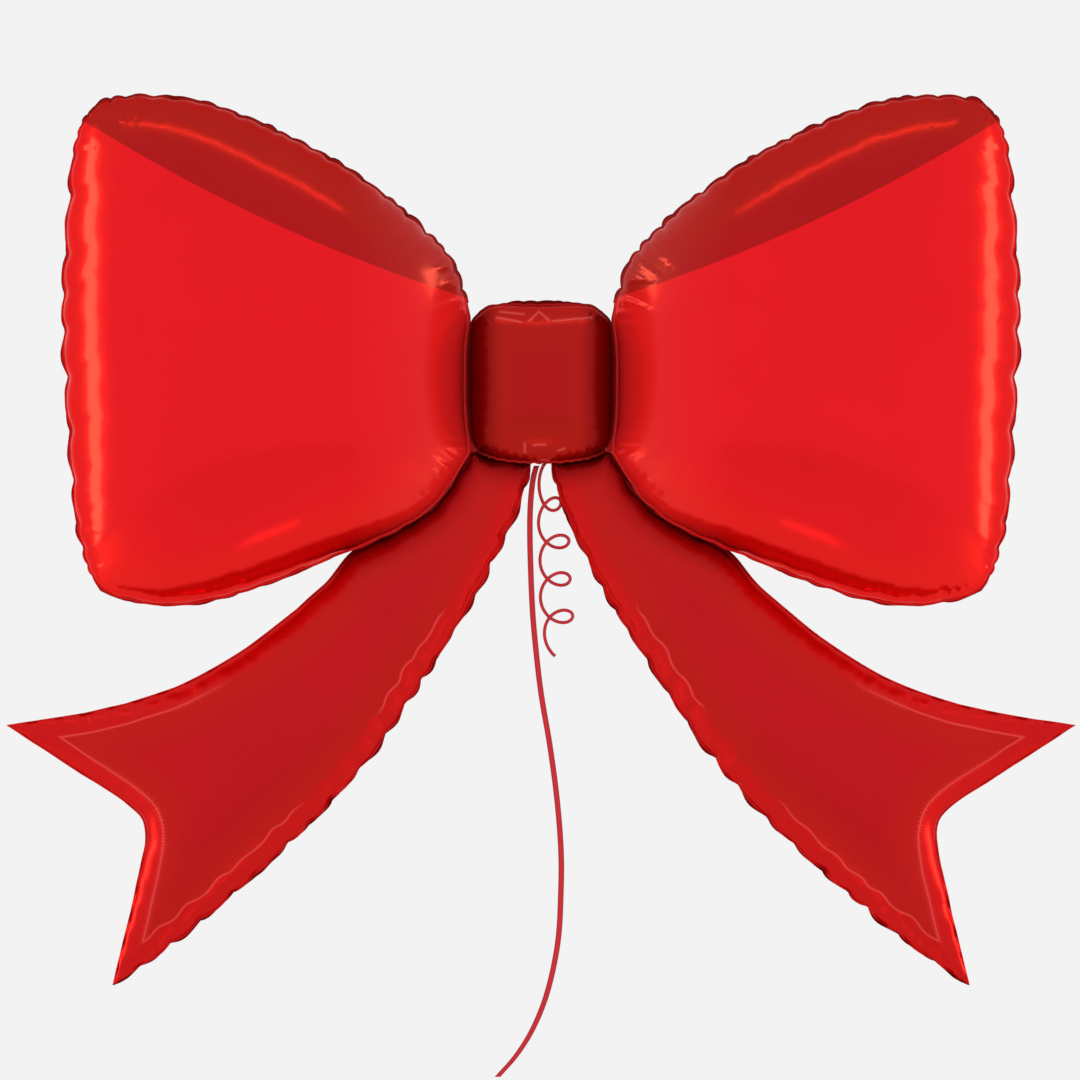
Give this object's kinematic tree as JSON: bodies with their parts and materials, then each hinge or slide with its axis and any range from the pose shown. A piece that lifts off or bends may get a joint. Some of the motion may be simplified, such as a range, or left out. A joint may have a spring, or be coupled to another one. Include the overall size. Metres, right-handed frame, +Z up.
{
  "type": "bow-shaped foil balloon",
  "caption": "Inflated foil balloon shaped like a tied bow: knot, side loops and swallow-tailed tails, with a hanging ribbon and a curled ribbon.",
  "frame": {"origin": "middle of the knot's bottom seam, where the filling neck starts and the ribbon is tied", "axes": "+Z up, +X to the right of someone who looks at the front, the front faces -Y"},
  "size_m": [0.996, 0.1988, 0.9143],
  "materials": {
    "loop_film": "glossy metallised foil, printed bright red, with a darker red field at the top of each loop",
    "knot_film": "glossy metallised foil, printed dark red",
    "tail_film": "glossy metallised foil, printed dark red with brighter margins",
    "valve_film": "clear soft valve film",
    "ribbon": "satin ribbed curling ribbon, red"
  },
  "bodies": {
    "knot": {"knot_front_film": "knot_film", "knot_back_film": "knot_film", "left_loop_hinge_weld": "knot_film", "right_loop_hinge_weld": "knot_film", "left_tail_hinge_web": "knot_film", "right_tail_hinge_web": "knot_film", "neck_gather": "knot_film", "valve_front_film": "valve_film", "valve_back_film": "valve_film", "ribbon_tie": "ribbon"},
    "left_loop": {"left_loop_front_film": "loop_film", "left_loop_back_film": "loop_film"},
    "right_loop": {"right_loop_front_film": "loop_film", "right_loop_back_film": "loop_film"},
    "left_tail": {"left_tail_front_film": "tail_film", "left_tail_back_film": "tail_film"},
    "right_tail": {"right_tail_front_film": "tail_film", "right_tail_back_film": "tail_film"},
    "filling_neck": {"neck_front_film": "knot_film", "neck_back_film": "knot_film"},
    "tether": {"tether_ribbon": "ribbon"},
    "curl": {"curled_ribbon": "ribbon"}
  },
  "joints": [
    {"name": "left_loop_flex", "type": "hinge", "parent": "knot", "child": "left_loop", "pos_m": [-0.071, 0, 0.08], "axis": [0, 0, 1], "range_deg": [0, 20], "stiffness_Nm_per_rad": 0.05},
    {"name": "right_loop_flex", "type": "hinge", "parent": "knot", "child": "right_loop", "pos_m": [0.071, 0, 0.08], "axis": [0, 0, -1], "range_deg": [0, 20], "stiffness_Nm_per_rad": 0.05},
    {"name": "left_tail_flex", "type": "hinge", "parent": "knot", "child": "left_tail", "pos_m": [-0.036, 0.006, 0.008], "axis": [0.9806, 0, -0.1961], "range_deg": [0, 30], "stiffness_Nm_per_rad": 0.03},
    {"name": "right_tail_flex", "type": "hinge", "parent": "knot", "child": "right_tail", "pos_m": [0.036, 0.006, 0.008], "axis": [0.9806, 0, 0.1961], "range_deg": [0, 30], "stiffness_Nm_per_rad": 0.03},
    {"name": "neck_lift", "type": "hinge", "parent": "knot", "child": "filling_neck", "pos_m": [0, 0.0165, 0.0022], "axis": [-1, 0, 0], "range_deg": [0, 60], "stiffness_Nm_per_rad": 0.01},
    {"name": "tether_swing", "type": "hinge", "parent": "knot", "child": "tether", "pos_m": [0, 0.014, 0], "axis": [1, 0, 0], "range_deg": [-8, 35]},
    {"name": "curl_swing", "type": "hinge", "parent": "knot", "child": "curl", "pos_m": [0, 0.014, 0], "axis": [1, 0, 0], "range_deg": [-2, 35]}
  ]
}
